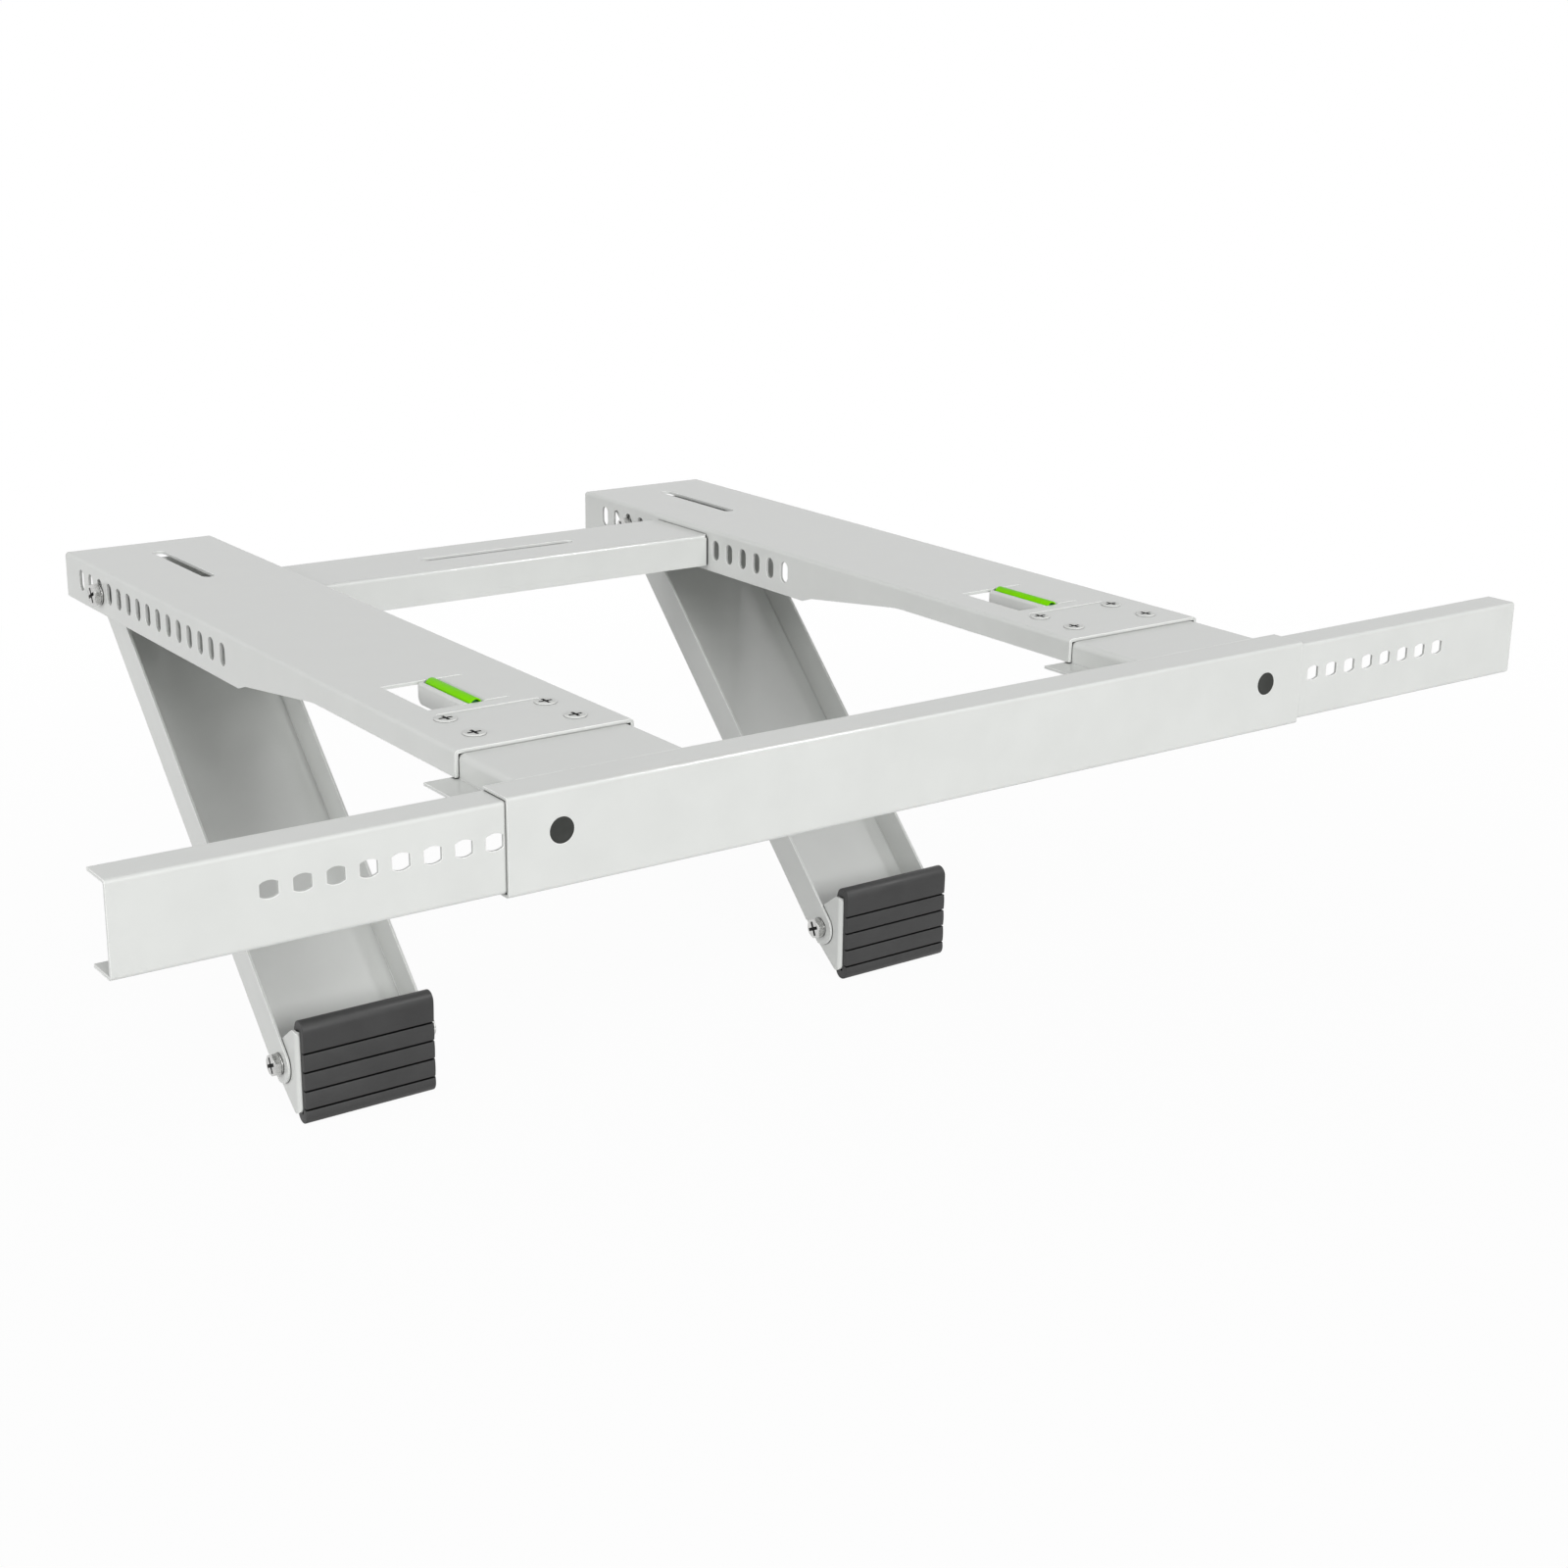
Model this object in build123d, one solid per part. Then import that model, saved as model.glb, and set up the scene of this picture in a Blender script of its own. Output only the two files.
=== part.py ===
from build123d import *
import math
import os

# Window air conditioner bracket, in millimetres.
# The origin is the centre of the crossbar's room-side face. X runs along the crossbar,
# +Y points outdoors and +Z is up.

# Crossbar: a channel that opens outdoors, and the extensions that slide in its two ends
bar_length = 537.4
bar_height = 50.0
bar_depth = 22.8
bar_sheet = 1.6
bar_bend = 2.0
slide_gap = 0.4
plug_inset = 29.4
plug_diameter = 13.4
plug_play = 0.05
plug_drop = 21.0
extension_length = 265.0
extension_sheet = 1.6
extension_bend = 2.0
extension_back_gap = 0.4
left_pull_out = 192.0
right_pull_out = 199.4
hole_pitch = 16.12
hole_count = 11
hole_end_margin = 73.4
hole_width = 9.2
hole_height = 8.7
hole_side = 5.9

# Arms: wide channels that open downwards, with a deep slotted tail and a shallow nose
slot_width = 8.4
arm_spacing = 407.2
arm_width = 104.4
arm_length = 545.9
arm_front = 74.6
arm_sheet = 2.0
arm_bend = 2.4
deep_flange = 29.6
shallow_flange = 14.1
deep_length = 281.5
step_run = 9.8
step_rise = 3.3
taper_length = 92.0
step_round = 2.0
step_fillet = 10.0
taper_fillet = 90.0
side_slot_length = 14.3
side_slot_drop = 13.8
side_slot_first = 28.5
side_slot_pitch = 16.54
side_slot_count = 15
top_slot_length = 91.4
top_slot_rear = 29.7

# Spirit level: a glass tube in a cradle that is folded from the arm's own sheet
window_left = -29.5
window_front = 70.9
window_length = 54.5
relief_width = 2.0
relief_end = 19.0
cradle_fold = 0.5
hem_gap = 0.1
tab_depth = 11.9
tab_round = 4.5
vial_diameter = 7.8
vial_bore = 6.1
vial_length = 50.0
vial_drop = 2.3
vial_play = 0.1
vial_plug_recess = 2.0
vial_plug_length = 3.0
viewing_slit_front = 60.0
viewing_slit_length = 61.0
viewing_slit_width = 3.2

# Front brackets: hat sections that join the arms to the crossbar
bracket_sheet = 1.6
bracket_bend = 3.4
bracket_side_gap = 0.3
bracket_height = 14.4
bracket_reach = 58.0
brim_width = 17.6
brim_overlap = 4.2
brim_bend = 2.2
screw_spread = 59.2
screw_first = 21.0
screw_pitch = 30.4
screw_diameter = 5.0
screw_head = 10.0
screw_play = 0.1
screw_nut_width = 8.0
screw_nut_height = 4.0
screw_tail = 1.0

# Cross-tie: a channel that opens downwards, welded between the two arms
tie_depth = 67.6
tie_height = 22.2
tie_drop = 3.8
tie_sheet = 1.6
tie_bend = 2.4
tie_end_gap = 0.7
tie_tab_gap = 2.4
tie_setback = 168.0
tie_slot_length = 118.0

# Legs: channels that run down from the arms and back to the wall
leg_tilt = 44.85
leg_reach = 343.0
leg_depth = 24.8
leg_sheet = 1.6
leg_bend = 2.2
leg_side_gap = 1.7
leg_web_setback = 12.0
leg_pivot_slot = 2
leg_stop_gap = 1.9
leg_corner = 5.0

# Feet: folded plates with ears, and the rubber pads that clip over them
foot_sheet = 1.8
foot_bend = 3.0
foot_side_gap = 0.4
foot_setback = 20.5
foot_height = 54.0
foot_corner = 4.0
ear_radius = 12.4
pad_width = 87.2
pad_thickness = 4.7
pad_lip = 6.15
pad_plate_play = 0.2
pad_hook = 5.2
pad_groove_width = 1.0
pad_groove_depth = 2.0
pad_rib_rise = 0.7
pad_groove_first = 13.6
pad_groove_pitch = 12.2
pad_groove_count = 4

# Pivot hardware: hexagon bolts, washers and nuts
bolt_diameter = 8.0
bolt_width = 13.0
bolt_head = 4.6
bolt_tail = 1.0
bolt_play = 0.1
washer_diameter = 13.6
washer_thickness = 1.2
nut_height = 6.8
face_play = 0.15

# Points nearer to each other than this are the same point
same_place = 1e-6

# Values that follow from the sizes above
bar_top = bar_height / 2
bar_end = bar_length / 2
row_height = bar_top - plug_drop
arm_x = arm_spacing / 2
arm_half = arm_width / 2
arm_inner = arm_half - arm_sheet
arm_top = bar_top + arm_sheet
arm_rear = arm_front + arm_length
slot_height = arm_top - side_slot_drop
pivot_y = arm_rear - side_slot_first - leg_pivot_slot * side_slot_pitch
pivot_z = slot_height - (side_slot_length - slot_width) / 2
leg_half = arm_inner - leg_side_gap
foot_half = leg_half - leg_sheet - foot_side_gap
foot_y = pivot_y - leg_reach * math.sin(math.radians(leg_tilt))
foot_z = pivot_z - leg_reach * math.cos(math.radians(leg_tilt))
bolt_hole = bolt_diameter + 2 * bolt_play
bracket_half = arm_inner - bracket_side_gap
tie_front = arm_rear - tie_setback
tie_half = arm_x - arm_half


def along_x(outline, start, end):
    """Run an outline drawn in Y and Z from one X to another."""
    return extrude(Plane.YZ.offset(start) * outline, end - start)


def along_y(section, start, end):
    """Run a section drawn in X and Z from one Y to another."""
    return extrude(Plane.XZ.offset(-start) * section, start - end)


def along_z(plan, start, end):
    """Run a plan drawn in X and Y from one Z to another."""
    return extrude(Plane.XY.offset(start) * plan, end - start)


def rounded(face, points, radius):
    """Round the corners of a flat face that lie at the given points."""
    near = [v for v in face.vertices() for p in points if (v.center() - Vector(*p)).length < same_place]
    return fillet(near, radius)


def channel_section(width, depth, sheet, bend):
    """A folded channel: its web lies on Y = 0 and its flanges stand towards +Y."""
    half = width / 2
    inner = half - sheet
    outline = Polyline(
        (-half, 0), (half, 0), (half, depth), (inner, depth),
        (inner, sheet), (-inner, sheet), (-inner, depth), (-half, depth),
        close=True,
    )
    face = rounded(make_face(outline), [(-half, 0), (half, 0)], bend)
    return rounded(face, [(-inner, sheet), (inner, sheet)], bend - sheet)


def slots(length, width, pitch, count):
    """A row of upright slots that starts at the origin and runs towards -X."""
    one = Rot(0, 0, 90) * SlotOverall(length, width)
    return Sketch() + [Pos(-pitch * i, 0) * one for i in range(count)]


def mirrored(solid):
    return mirror(solid, Plane.YZ)


def crossbar_sleeve():
    section = channel_section(bar_height, bar_depth, bar_sheet, bar_bend)
    bar = extrude(Plane.YZ.offset(-bar_end) * Rot(0, 0, -90) * section, bar_length)
    for side in (-1, 1):
        hole = Cylinder(plug_diameter / 2 + plug_play, 4 * bar_sheet, rotation=(90, 0, 0))
        bar -= Pos(side * (bar_end - plug_inset), 0, row_height) * hole
    return bar


def sleeve_plug():
    """A flush plastic button that fills the hole near the sleeve's right end."""
    disc = Cylinder(plug_diameter / 2, bar_sheet, rotation=(90, 0, 0))
    return Pos(bar_end - plug_inset, bar_sheet / 2, row_height) * disc


def barrel_hole():
    """The extension's hole: flat at its sides and arched above and below."""
    half = hole_width / 2
    side = hole_side / 2
    rise = hole_height / 2
    outline = [
        Line((-half, -side), (-half, side)),
        ThreePointArc((-half, side), (0, rise), (half, side)),
        Line((half, side), (half, -side)),
        ThreePointArc((half, -side), (0, -rise), (-half, -side)),
    ]
    return make_face(Wire(outline))


def extension():
    """The right extension, with its outer end at X = 0 and its web facing the room."""
    inset = bar_sheet + slide_gap
    height = bar_height - 2 * inset
    depth = bar_depth - inset - extension_back_gap
    section = channel_section(height, depth, extension_sheet, extension_bend)
    bar = extrude(Plane.YZ.offset(-extension_length) * Rot(0, 0, -90) * section, extension_length)
    holes = [Pos(-hole_end_margin - hole_pitch * i, row_height) * barrel_hole() for i in range(hole_count)]
    bar -= along_y(Sketch() + holes, -extension_sheet, 2 * extension_sheet)
    return Pos(0, inset, 0) * bar


def arm_outline():
    """The arm seen from its side: shallow at the nose, then a taper, a step and the deep tail."""
    low = arm_top - deep_flange
    high = arm_top - shallow_flange
    step = arm_rear - deep_length
    shoulder = (step - step_run, low + step_rise)
    nose = (step - step_run - taper_length, high)
    points = [(arm_front, arm_top), (arm_front, high), nose, shoulder, (step, low), (arm_rear, low), (arm_rear, arm_top)]
    face = make_face(Polyline(*points, close=True))
    face = rounded(face, [(step, low)], step_round)
    face = rounded(face, [shoulder], step_fillet)
    return rounded(face, [nose], taper_fillet)


def level_window():
    """Everything that is cut from the arm's top for the level, with the arm's nose at Y = 0."""
    fold_end = cradle_right() + cradle_fold
    far = window_front + window_length
    window = Pos((window_left + fold_end) / 2, window_front + window_length / 2) * Rectangle(
        fold_end - window_left, window_length
    )
    relief = SlotOverall(2 * (relief_end - fold_end), relief_width)
    reliefs = [Pos(fold_end, y) * relief for y in (window_front + relief_width / 2, far - relief_width / 2)]
    slit = Pos(0, viewing_slit_front) * SlotOverall(viewing_slit_length, viewing_slit_width)
    return window + reliefs + slit


def cradle_right():
    """The cradle's outer face on its right, where its fold into the arm's top starts."""
    return vial_diameter / 2 + vial_play + arm_sheet


def half_ring(outer, inner, upper):
    """Half of a ring about the origin: its upper or its lower half."""
    side = 1 if upper else -1
    ring = Circle(outer) - Circle(inner)
    return ring & (Pos(0, side * outer / 2) * Rectangle(2 * outer, outer))


def cradle_section():
    """The level's cradle in X and Z, with the arm's top face at Z = 0 and the tube at X = 0."""
    bore = vial_diameter / 2 + vial_play
    outer = bore + arm_sheet
    fold = arm_sheet + cradle_fold
    fold_x = bore + fold
    hem = hem_gap / 2
    hem_x = -outer - hem
    trough = Pos(0, -vial_drop) * half_ring(outer, bore, upper=False)
    quarter = Circle(fold) - Circle(cradle_fold)
    quarter = quarter & (Pos(-fold / 2, fold / 2) * Rectangle(fold, fold))
    bend = Pos(fold_x, -fold) * quarter
    riser = Pos((bore + outer) / 2, -(fold + vial_drop) / 2) * Rectangle(arm_sheet, abs(vial_drop - fold) + hem)
    rim = Pos(hem_x, -vial_drop) * half_ring(arm_sheet + hem, hem, upper=True)
    tab_length = tab_depth - vial_drop
    tab = Pos(hem_x - hem - arm_sheet / 2, -vial_drop - tab_length / 2) * Rectangle(arm_sheet, tab_length)
    return trough + bend + riser + rim + tab


def cradle():
    """The cradle as a solid: its tab's lower corners are round."""
    start = window_front + relief_width
    end = window_front + window_length - relief_width
    strip = along_y(cradle_section(), start, end)
    tall = 4 * tab_depth
    side = Pos((start + end) / 2, tall / 2 - tab_depth) * RectangleRounded(end - start, tall, tab_round)
    return strip & along_x(side, -arm_half, arm_half)


def arm():
    """The right arm, with its middle at X = 0 and its real place in Y and Z."""
    section = Rot(0, 0, 180) * channel_section(arm_width, deep_flange, arm_sheet, arm_bend)
    body = along_y(Pos(0, arm_top) * section, arm_front, arm_rear)
    body &= along_x(arm_outline(), -arm_half, arm_half)
    row = Pos(arm_rear - side_slot_first, slot_height) * slots(
        side_slot_length, slot_width, side_slot_pitch, side_slot_count
    )
    body -= along_x(row, -arm_width, arm_width)
    top_slot = Rot(0, 0, 90) * SlotOverall(top_slot_length, slot_width)
    cuts = Pos(0, arm_rear - top_slot_rear - top_slot_length / 2) * top_slot
    cuts += Pos(0, arm_front) * level_window()
    body -= along_z(cuts, arm_top - 2 * arm_sheet, arm_top + arm_sheet)
    body += Pos(0, arm_front, arm_top) * cradle()
    for place in screw_places():
        body -= place * screw_shape(screw_play)
    return body


def screw_places():
    """The four countersunk screws of one arm: each place is the middle of a head's top."""
    rows = (screw_first, screw_first + screw_pitch)
    return [
        Pos(side * screw_spread / 2, arm_front + row, arm_top)
        for side in (-1, 1)
        for row in rows
    ]


def screw_shape(play):
    """A countersunk screw with its head's top at Z = 0, larger all round by the play."""
    shank = screw_diameter / 2 + play
    head = screw_head / 2 + play
    length = arm_sheet + bracket_sheet + screw_nut_height + screw_tail
    points = [(0, 0), (head, 0), (shank, shank - head), (shank, -length), (0, -length)]
    profile = Plane.XZ * make_face(Polyline(*points, close=True))
    return revolve(profile, Axis.Z)


def hexagon(width, height):
    """A six-sided prism that stands on Z = 0."""
    return extrude(RegularPolygon(width / 2, 6, major_radius=False), height)


def nut(width, height, bore):
    return hexagon(width, height) - Cylinder(bore / 2, 4 * height)


def washer():
    disc = Cylinder(washer_diameter / 2, washer_thickness) - Cylinder(bolt_hole / 2, 2 * washer_thickness)
    return Pos(0, 0, washer_thickness / 2) * disc


def bolt(grip):
    """A hexagon bolt: its head stands on Z = 0 and its shank runs down through the grip and nut."""
    length = grip + nut_height + bolt_tail
    return hexagon(bolt_width, bolt_head) + Pos(0, 0, -length / 2) * Cylinder(bolt_diameter / 2, length)


def pivot_sets(seat_x, grip, y, z):
    """Bolts, washers and nuts at both sides of a pivot, as three lists of solids.

    The washers lie on the faces at -seat_x and +seat_x, and the grip runs inwards from there.
    """
    seats = [Pos(side * seat_x, y, z) * Rot(0, side * 90, 0) for side in (-1, 1)]
    bolts = [seat * Pos(0, 0, washer_thickness) * bolt(grip + washer_thickness) for seat in seats]
    washers = [seat * washer() for seat in seats]
    one_nut = Rot(180, 0, 0) * nut(bolt_width, nut_height, bolt_hole)
    nuts = [seat * Pos(0, 0, -grip) * one_nut for seat in seats]
    return bolts, washers, nuts


def front_bracket():
    """The hat section under the arm's nose, with its middle at X = 0."""
    outer = bracket_half
    inner = outer - bracket_sheet
    brim = outer + brim_width
    low = bar_top - bracket_height
    brim_top = low + bracket_sheet
    top = bar_top
    under = top - bracket_sheet
    points = [
        (-brim, low), (-inner, low), (-inner, under), (inner, under), (inner, low), (brim, low),
        (brim, brim_top), (outer, brim_top), (outer, top), (-outer, top), (-outer, brim_top), (-brim, brim_top),
    ]
    face = make_face(Polyline(*points, close=True))
    face = rounded(face, [(-outer, top), (outer, top)], bracket_bend)
    face = rounded(face, [(-inner, under), (inner, under)], bracket_bend - bracket_sheet)
    face = rounded(face, [(-inner, low), (inner, low)], brim_bend)
    face = rounded(face, [(-outer, brim_top), (outer, brim_top)], brim_bend - bracket_sheet)
    body = along_y(face, bar_depth, arm_front + bracket_reach)
    brim_end = arm_front + brim_overlap
    beyond = Pos(0, top) * Rectangle(4 * brim, 4 * bracket_height)
    keep = Pos(0, top) * Rectangle(2 * outer, 2 * (top - brim_top - brim_bend))
    body -= along_y(beyond - keep, brim_end, arm_rear)
    for place in screw_places():
        body -= place * screw_shape(screw_play)
    return body


def screw_nut_places():
    drop = arm_sheet + bracket_sheet
    return [place * Pos(0, 0, -drop) * Rot(180, 0, 0) for place in screw_places()]


def level_vial():
    tube = Cylinder(vial_diameter / 2, vial_length) - Cylinder(vial_bore / 2, 2 * vial_length)
    return vial_place() * tube


def vial_place():
    """The middle of the level's tube, with the tube's axis along Y."""
    middle = arm_front + window_front + window_length / 2
    return Pos(0, middle, arm_top - vial_drop) * Rot(90, 0, 0)


def level_end_plugs():
    plug = Cylinder(vial_bore / 2 - vial_play, vial_plug_length)
    offset = vial_length / 2 - vial_plug_recess - vial_plug_length / 2
    return [vial_place() * Pos(0, 0, side * offset) * plug for side in (-1, 1)]


def level_liquid():
    """The column of liquid between the two end plugs."""
    length = vial_length - 2 * (vial_plug_recess + vial_plug_length)
    return vial_place() * Cylinder(vial_bore / 2 - vial_play, length)


def cross_tie():
    """The channel between the arms: its flanges end in tabs that fold inwards and meet the arms."""
    middle = tie_front + tie_depth / 2
    top = arm_top - tie_drop
    low = top - tie_height
    section = Rot(0, 0, 180) * channel_section(tie_depth, tie_height, tie_sheet, tie_bend)
    bend_start = tie_half - tie_bend
    body = along_x(Pos(middle, top) * section, -bend_start, bend_start)
    wall = channel_section(2 * tie_half, (tie_depth - tie_tab_gap) / 2, tie_sheet, tie_bend)
    walls = Pos(0, tie_front) * wall + Pos(0, tie_front + tie_depth) * Rot(0, 0, 180) * wall
    body += along_z(walls, low, top - tie_bend)
    web = Rectangle(2 * (tie_half - tie_end_gap), tie_depth - 2 * tie_bend)
    body += along_z(Pos(0, middle) * web, top - tie_sheet, top)
    slot = Pos(0, middle) * SlotOverall(tie_slot_length, slot_width)
    return body - along_z(slot, top - 2 * tie_sheet, top + tie_sheet)


def leg():
    """A leg, with its middle at X = 0: built upright from its upper pivot, then tilted.

    Its upper end runs on past the pivot until it nearly meets the arm's top, which stops it.
    """
    section = Rot(0, 0, 180) * channel_section(2 * leg_half, leg_depth, leg_sheet, leg_bend)
    end = leg_depth / 2
    body = along_z(Pos(0, end) * section, -leg_reach - end, 2 * leg_depth)
    body &= along_x(leg_outline(end), -leg_half, leg_half)
    notch = Box(3 * leg_half, 2 * leg_bend, 2 * end + leg_web_setback)
    body -= Pos(0, end, leg_web_setback / 2 - end - leg_reach) * notch
    for z in (0, -leg_reach):
        body -= Pos(0, 0, z) * Cylinder(bolt_hole / 2, 3 * leg_half, rotation=(0, 90, 0))
    return Pos(0, pivot_y, pivot_z) * Rot(-leg_tilt, 0, 0) * body


def leg_outline(end):
    """The upright leg seen from its side: round at the foot, and cut level with the arm's top above."""
    tilt = math.radians(leg_tilt)
    rise = bar_top - leg_stop_gap - pivot_z
    front_top = (rise - end * math.sin(tilt)) / math.cos(tilt)
    back_top = (rise + end * math.sin(tilt)) / math.cos(tilt)
    outline = Polyline((-end, -leg_reach), (-end, front_top), (end, back_top), (end, -leg_reach), close=True)
    return rounded(make_face(outline), [(-end, front_top)], leg_corner) + Pos(0, -leg_reach) * Circle(end)


def foot_plate():
    """The folded plate behind a pad: its ears taper back to the pivot bolts."""
    section = channel_section(2 * foot_half, foot_setback + ear_radius, foot_sheet, foot_bend)
    body = along_z(Pos(0, -foot_setback) * section, -foot_height / 2, foot_height / 2)
    corner_y = foot_corner - foot_setback
    corner_z = foot_height / 2 - foot_corner
    rounds = [Circle(ear_radius).edge()]
    rounds += [(Pos(corner_y, side * corner_z) * Circle(foot_corner)).edge() for side in (-1, 1)]
    body &= along_x(make_hull(rounds), -foot_half, foot_half)
    body -= Cylinder(bolt_hole / 2, 3 * foot_half, rotation=(0, 90, 0))
    return Pos(0, foot_y, foot_z) * body


def pad_outline():
    """The pad's section in Y and Z about the pivot: ribs in front and lips that hook the plate."""
    plate_front = -foot_setback
    plate_back = plate_front + foot_sheet
    front = plate_front - pad_thickness
    base = front + pad_groove_depth
    lip_y = front + pad_lip
    lip_z = foot_height / 2 + pad_plate_play
    back = lip_y + pad_lip
    outline = Pos((base + back) / 2, 0) * Rectangle(back - base, 2 * lip_z)
    lips = Sketch() + [Pos(lip_y, side * lip_z) * Circle(pad_lip) for side in (-1, 1)]
    ribs = pad_ribs(front, base, lip_z) & Rectangle(-2 * front, 2 * lip_z)
    hollow = Rectangle(-2 * plate_front, 2 * (lip_z - pad_hook))
    slot = Pos((plate_front + plate_back) / 2, 0) * Rectangle(foot_sheet, 2 * lip_z)
    return outline + lips + ribs - hollow - slot


def pad_ribs(front, base, lip_z):
    """The ribs between the grooves: the first and last are cut short where the lips start."""
    half_groove = pad_groove_width / 2
    grooves = [pad_groove_first - pad_groove_pitch * i for i in range(pad_groove_count)]
    upper = [z - half_groove for z in grooves]
    lower = [z + half_groove for z in grooves]
    spans = [(2 * lip_z - lower[0], lower[0]), *zip(upper, lower[1:]), (upper[-1], -2 * lip_z - upper[-1])]
    return Sketch() + [rib(front, base, high, low) for high, low in spans]


def rib(front, base, high, low):
    """One rib in Y and Z: its face is a low arch."""
    edge = front + pad_rib_rise
    arch = ThreePointArc((edge, high), (front, (high + low) / 2), (edge, low))
    sides = Polyline((edge, low), (base, low), (base, high), (edge, high))
    return make_face(Wire([arch, *sides.edges()]))


def foot_pad():
    return Pos(0, foot_y, foot_z) * along_x(pad_outline(), -pad_width / 2, pad_width / 2)


def save(name, solids):
    """Write one node: a single piece, or several like pieces that stay apart."""
    pieces = solids if isinstance(solids, list) else [solids]
    bodies = [body for piece in pieces for body in piece.solids()]
    shape = bodies[0] if len(bodies) == 1 else Compound(children=bodies)
    export_step(shape, f"parts/{name}.step")


def save_pair(name, solids, x=0.0):
    """Write a right-hand node as modelled, moved to its X, and its mirror image as the left one."""
    pieces = solids if isinstance(solids, list) else [solids]
    placed = [Pos(x, 0, 0) * piece for piece in pieces]
    save(name + "_right", placed)
    save(name + "_left", [mirrored(piece) for piece in placed])


def save_like(name, solids):
    """Write the same pieces, unmirrored, at the left and at the right arm."""
    pieces = solids if isinstance(solids, list) else [solids]
    for side, word in ((-1, "left"), (1, "right")):
        save(f"{name}_{word}", [Pos(side * arm_x, 0, 0) * piece for piece in pieces])


def main():
    os.makedirs("parts", exist_ok=True)
    save("crossbar_sleeve", crossbar_sleeve())
    save_pair("sleeve_plug", sleeve_plug())
    rail = extension()
    save("extension_right", Pos(bar_end + right_pull_out, 0, 0) * rail)
    save("extension_left", mirrored(Pos(bar_end + left_pull_out, 0, 0) * rail))

    save_like("front_bracket", front_bracket())
    save_like("arm", arm())
    save_like("arm_screws", [place * screw_shape(0) for place in screw_places()])
    screw_nut = nut(screw_nut_width, screw_nut_height, screw_diameter + 2 * screw_play)
    save_like("arm_screw_nuts", [place * screw_nut for place in screw_nut_places()])
    save_like("level_vial", level_vial())
    save_like("level_end_plugs", level_end_plugs())
    save_like("level_liquid", level_liquid())

    save("cross_tie", cross_tie())

    save_like("leg", leg())
    grip = arm_half - leg_half + leg_sheet + face_play
    bolts, washers, nuts = pivot_sets(arm_half + face_play, grip, pivot_y, pivot_z)
    save_like("leg_bolts", bolts)
    save_like("leg_washers", washers)
    save_like("leg_nuts", nuts)

    save_like("foot_plate", foot_plate())
    save_like("foot_pad", foot_pad())
    grip = leg_sheet + foot_side_gap + foot_sheet + face_play
    bolts, washers, nuts = pivot_sets(leg_half, grip, foot_y, foot_z)
    save_like("foot_bolts", bolts)
    save_like("foot_washers", washers)
    save_like("foot_nuts", nuts)


main()
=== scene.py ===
"""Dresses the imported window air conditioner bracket: finishes, fasteners, levels, pads and stage."""

import math

import bmesh
import bpy
from bpy.props import FloatProperty, FloatVectorProperty, PointerProperty
from bpy.types import Operator, Panel, PropertyGroup
from mathutils import Matrix, Vector


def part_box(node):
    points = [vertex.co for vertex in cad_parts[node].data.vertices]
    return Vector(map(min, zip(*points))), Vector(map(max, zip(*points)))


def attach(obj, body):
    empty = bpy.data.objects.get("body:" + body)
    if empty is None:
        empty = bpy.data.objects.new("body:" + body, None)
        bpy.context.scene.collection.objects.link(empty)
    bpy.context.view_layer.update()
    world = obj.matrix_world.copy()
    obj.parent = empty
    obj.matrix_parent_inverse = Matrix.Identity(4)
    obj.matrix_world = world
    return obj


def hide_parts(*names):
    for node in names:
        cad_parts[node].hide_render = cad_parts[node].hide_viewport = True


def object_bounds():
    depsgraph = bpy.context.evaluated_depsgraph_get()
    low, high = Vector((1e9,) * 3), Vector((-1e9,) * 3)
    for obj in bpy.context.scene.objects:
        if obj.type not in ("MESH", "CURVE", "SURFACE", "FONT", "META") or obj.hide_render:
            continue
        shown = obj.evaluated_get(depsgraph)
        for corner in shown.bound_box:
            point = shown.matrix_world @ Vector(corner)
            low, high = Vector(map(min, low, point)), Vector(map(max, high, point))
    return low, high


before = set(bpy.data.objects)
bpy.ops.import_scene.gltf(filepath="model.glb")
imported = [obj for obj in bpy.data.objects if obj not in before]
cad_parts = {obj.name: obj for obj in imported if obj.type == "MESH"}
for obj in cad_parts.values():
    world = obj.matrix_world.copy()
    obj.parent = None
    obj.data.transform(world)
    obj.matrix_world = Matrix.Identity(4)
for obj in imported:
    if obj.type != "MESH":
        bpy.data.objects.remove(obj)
cad_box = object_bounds()

bl_info = {
    "name": "Window Air Conditioner Bracket",
    "version": (1, 0, 0),
    "blender": (4, 5, 0),
    "location": "View3D > Sidebar > Bracket",
    "description": "Builds the finishes and the small parts of a window air conditioner bracket",
    "category": "Add Mesh",
}

MM = 0.001
SIDES = ("left", "right")
ENDS = (-1, 1)
PIVOTS = [(joint, side) for joint in ("leg", "foot") for side in SIDES]
STEEL_PAIRS = ("extension", "front_bracket", "arm", "leg", "foot_plate")
STEEL_NODES = ["crossbar_sleeve", "cross_tie"] + [f"{part}_{side}" for part in STEEL_PAIRS for side in SIDES]


# Sizes and colours that a user may change


def number(name, description, default, **settings):
    return FloatProperty(name=name, description=description, default=default, **settings)


def length(name, description, metres):
    return number(name, description, metres, min=0, precision=5, subtype="DISTANCE", unit="LENGTH")


def angle(name, description, degrees):
    return number(name, description, math.radians(degrees), subtype="ANGLE", unit="ROTATION")


def power(name, description, watts):
    return number(name, description, watts, min=0, unit="POWER")


def colour(name, description, default):
    return FloatVectorProperty(
        name=name, description=description, default=default, min=0, max=1, size=3, subtype="COLOR"
    )


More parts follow.
